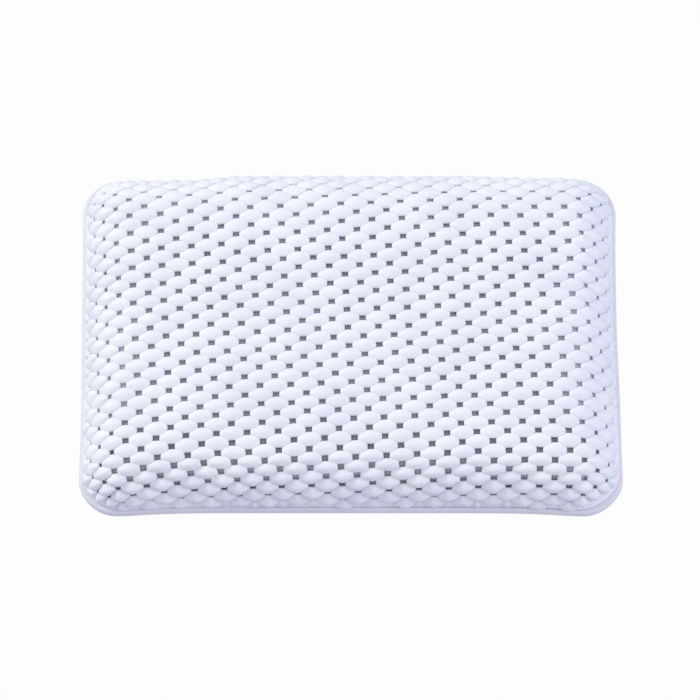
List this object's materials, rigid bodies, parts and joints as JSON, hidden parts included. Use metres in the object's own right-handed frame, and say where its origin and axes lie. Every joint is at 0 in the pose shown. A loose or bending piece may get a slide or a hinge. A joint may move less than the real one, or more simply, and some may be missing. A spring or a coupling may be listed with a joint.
{
  "type": "bath pillow",
  "caption": "Rectangular padded bath pillow: crowned open net over a sponge core on a smooth back tray, held to the tub by suction cups.",
  "frame": {"origin": "middle of the footprint, on the plane that the suction cups' lips rest on", "axes": "+X along the width, +Y across the depth towards the edge that is uppermost in use, +Z out of the net's face"},
  "size_m": [0.32, 0.216, 0.055],
  "materials": {
    "net_foam": "matte",
    "sponge": "matte",
    "back_sheet": "satin",
    "cup_pvc": "gloss"
  },
  "bodies": {
    "pillow": {"front_net": "net_foam", "foam_core": "sponge", "back_tray": "back_sheet", "cup_washer_1": "back_sheet", "cup_washer_2": "back_sheet", "cup_washer_3": "back_sheet", "cup_washer_4": "back_sheet", "cup_washer_5": "back_sheet", "cup_washer_6": "back_sheet"},
    "cup_1": {"suction_cup_1": "cup_pvc"},
    "cup_2": {"suction_cup_2": "cup_pvc"},
    "cup_3": {"suction_cup_3": "cup_pvc"},
    "cup_4": {"suction_cup_4": "cup_pvc"},
    "cup_5": {"suction_cup_5": "cup_pvc"},
    "cup_6": {"suction_cup_6": "cup_pvc"}
  },
  "joints": [
    {"name": "cup_1_swivel", "type": "hinge", "parent": "pillow", "child": "cup_1", "pos_m": [-0.105, -0.056, 0.0128], "axis": [0, 0, 1], "continuous": true},
    {"name": "cup_2_swivel", "type": "hinge", "parent": "pillow", "child": "cup_2", "pos_m": [0, -0.056, 0.0128], "axis": [0, 0, 1], "continuous": true},
    {"name": "cup_3_swivel", "type": "hinge", "parent": "pillow", "child": "cup_3", "pos_m": [0.105, -0.056, 0.0128], "axis": [0, 0, 1], "continuous": true},
    {"name": "cup_4_swivel", "type": "hinge", "parent": "pillow", "child": "cup_4", "pos_m": [-0.105, 0.056, 0.0128], "axis": [0, 0, 1], "continuous": true},
    {"name": "cup_5_swivel", "type": "hinge", "parent": "pillow", "child": "cup_5", "pos_m": [0, 0.056, 0.0128], "axis": [0, 0, 1], "continuous": true},
    {"name": "cup_6_swivel", "type": "hinge", "parent": "pillow", "child": "cup_6", "pos_m": [0.105, 0.056, 0.0128], "axis": [0, 0, 1], "continuous": true}
  ]
}
